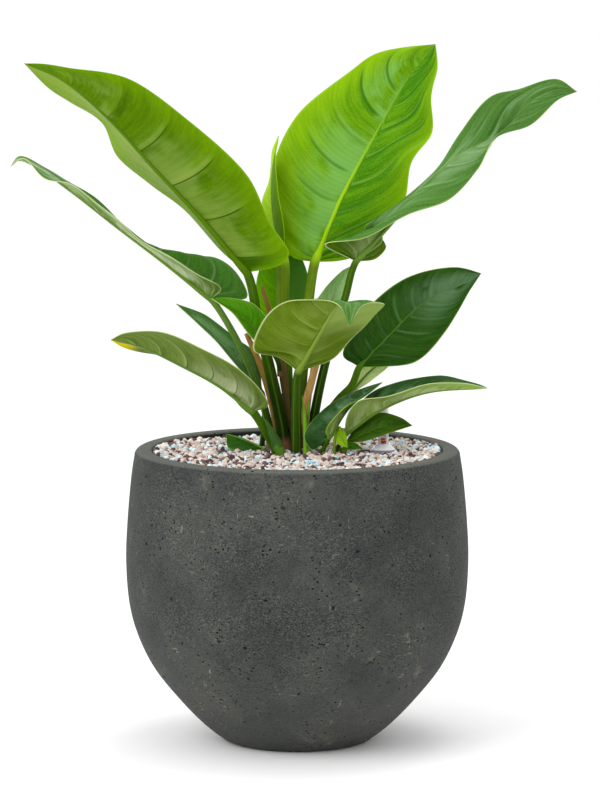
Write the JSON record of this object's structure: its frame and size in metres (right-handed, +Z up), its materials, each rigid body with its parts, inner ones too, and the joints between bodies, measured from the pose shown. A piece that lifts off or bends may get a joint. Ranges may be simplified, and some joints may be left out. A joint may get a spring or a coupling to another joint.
{
  "type": "potted imperial green philodendron",
  "caption": "House plant with broad glossy heart-shaped leaves on long stalks, in a round dark planter filled with gravel, with a clear water gauge.",
  "frame": {"origin": "centre of the pot's flat base, on the surface that it stands on", "axes": "+Z up along the pot's axis, -Y towards the side that the picture shows, +X to the right in the picture; the water gauge stands at +X"},
  "size_m": [0.5762, 0.35, 0.7052],
  "materials": {
    "pot": "matte",
    "gravel": "matte",
    "leaf_dark": "satin",
    "leaf_bright": "satin",
    "leaf_underside": "satin",
    "sheath": "matte",
    "shoot": "satin",
    "gauge_clear": "gloss",
    "gauge_cone": "gloss",
    "gauge_red": "satin"
  },
  "bodies": {
    "planter": {"pot": "pot", "gravel": "gravel", "leaf_upper_left": "leaf_underside", "leaf_upper_centre": "leaf_bright", "leaf_upper_right": "leaf_dark", "leaf_unfurling": "leaf_bright", "leaf_long_left": "leaf_dark", "leaf_front": "leaf_underside", "leaf_low_left": "leaf_underside", "leaf_back_left": "leaf_dark", "leaf_bright_left": "leaf_bright", "leaf_right": "leaf_dark", "leaf_curled_right": "leaf_dark", "leaf_low_right": "leaf_dark", "leaf_small_right": "leaf_dark", "leaf_tiny_right": "leaf_bright", "leaf_tiny_flat": "leaf_bright", "leaf_pale_right": "leaf_underside", "leaf_back_right": "leaf_dark", "leaf_back_centre": "leaf_dark", "leaf_on_gravel": "leaf_bright", "sheath_tan": "sheath", "sheath_brown": "sheath", "sheath_pink": "sheath", "shoot_left": "shoot", "shoot_right": "shoot", "shoot_broad": "shoot", "gauge_tube": "gauge_clear", "gauge_collar": "gauge_cone"},
    "float": {"gauge_float": "gauge_red"}
  },
  "joints": [
    {"name": "float_rise", "type": "slide", "parent": "planter", "child": "float", "axis": [0, 0, 1], "range_m": [0, 0.025]}
  ]
}
